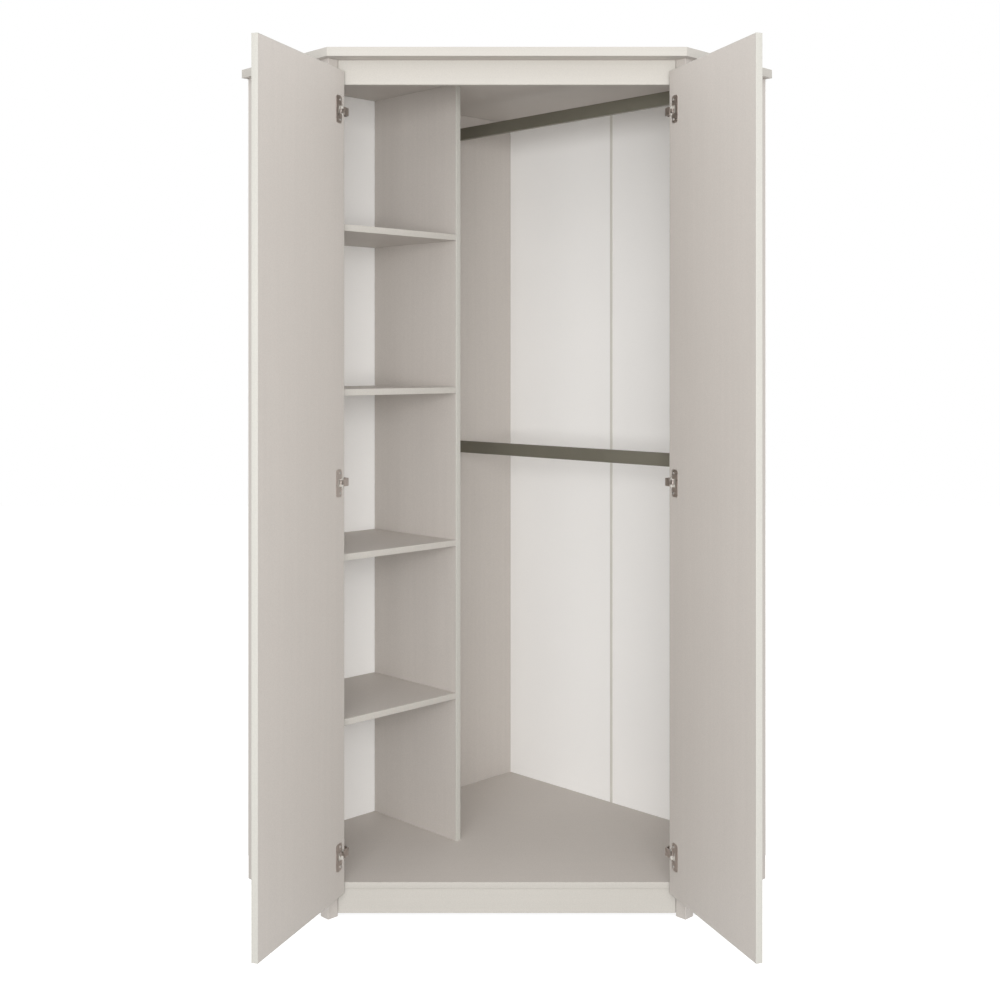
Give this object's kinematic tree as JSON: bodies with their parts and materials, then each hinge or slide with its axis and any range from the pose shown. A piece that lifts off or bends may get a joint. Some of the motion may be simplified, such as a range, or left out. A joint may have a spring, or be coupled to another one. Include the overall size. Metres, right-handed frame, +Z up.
{
  "type": "corner wardrobe",
  "caption": "Tall five-sided corner wardrobe with two hinged doors, open here, shelves behind one door and flat-sided hanging rails behind the other.",
  "frame": {"origin": "on the floor, at the centre of the wardrobe's box with its doors fully open", "axes": "+Z up, front (doors) towards -Y, the room's corner towards +Y, shelf bay towards -X"},
  "size_m": [1.3746, 1.2891, 2.108],
  "materials": {
    "painted_board": "warm off-white matt coated board",
    "white_sheet": "white coated hardboard",
    "bronze_metal": "dark olive-bronze satin paint",
    "nickel_metal": "satin nickel plating",
    "pale_plastic": "pale grey moulded plastic"
  },
  "bodies": {
    "root": {"top_board": "painted_board", "floor_board": "painted_board", "plinth": "painted_board", "pelmet": "painted_board", "left_post": "painted_board", "right_post": "painted_board", "left_side_panel": "painted_board", "right_side_panel": "painted_board", "left_back_panel": "painted_board", "divider": "painted_board", "shelf_1": "painted_board", "shelf_2": "painted_board", "shelf_3": "painted_board", "shelf_4": "painted_board", "left_back_sheet": "white_sheet", "right_back_sheet_inner": "white_sheet", "right_back_sheet_outer": "white_sheet", "back_joint_strip": "pale_plastic", "upper_rail": "bronze_metal", "upper_rail_left_socket": "bronze_metal", "upper_rail_right_socket": "bronze_metal", "lower_rail": "bronze_metal", "lower_rail_left_socket": "bronze_metal", "lower_rail_right_socket": "bronze_metal", "left_side_glide": "pale_plastic", "right_side_glide": "pale_plastic", "back_corner_glide": "pale_plastic", "back_divider_glide": "pale_plastic", "floor_support_foot": "pale_plastic", "left_hinge_arm_1": "nickel_metal", "left_hinge_arm_2": "nickel_metal", "left_hinge_arm_3": "nickel_metal", "left_hinge_mount_1": "nickel_metal", "left_hinge_mount_2": "nickel_metal", "left_hinge_mount_3": "nickel_metal", "right_hinge_arm_1": "nickel_metal", "right_hinge_arm_2": "nickel_metal", "right_hinge_arm_3": "nickel_metal", "right_hinge_mount_1": "nickel_metal", "right_hinge_mount_2": "nickel_metal", "right_hinge_mount_3": "nickel_metal"},
    "left_door": {"left_door": "painted_board", "left_knob": "nickel_metal", "left_hinge_cup_1": "nickel_metal", "left_hinge_cup_2": "nickel_metal", "left_hinge_cup_3": "nickel_metal"},
    "right_door": {"right_door": "painted_board", "right_knob": "nickel_metal", "right_hinge_cup_1": "nickel_metal", "right_hinge_cup_2": "nickel_metal", "right_hinge_cup_3": "nickel_metal"}
  },
  "joints": [
    {"name": "left_door_hinge", "type": "hinge", "parent": "root", "child": "left_door", "pos_m": [-0.40294, -0.26522, 1.058], "axis": [0, 0, 1], "range_deg": [0, 110]},
    {"name": "right_door_hinge", "type": "hinge", "parent": "root", "child": "right_door", "pos_m": [0.40294, -0.26522, 1.058], "axis": [0, 0, -1], "range_deg": [0, 110]}
  ]
}
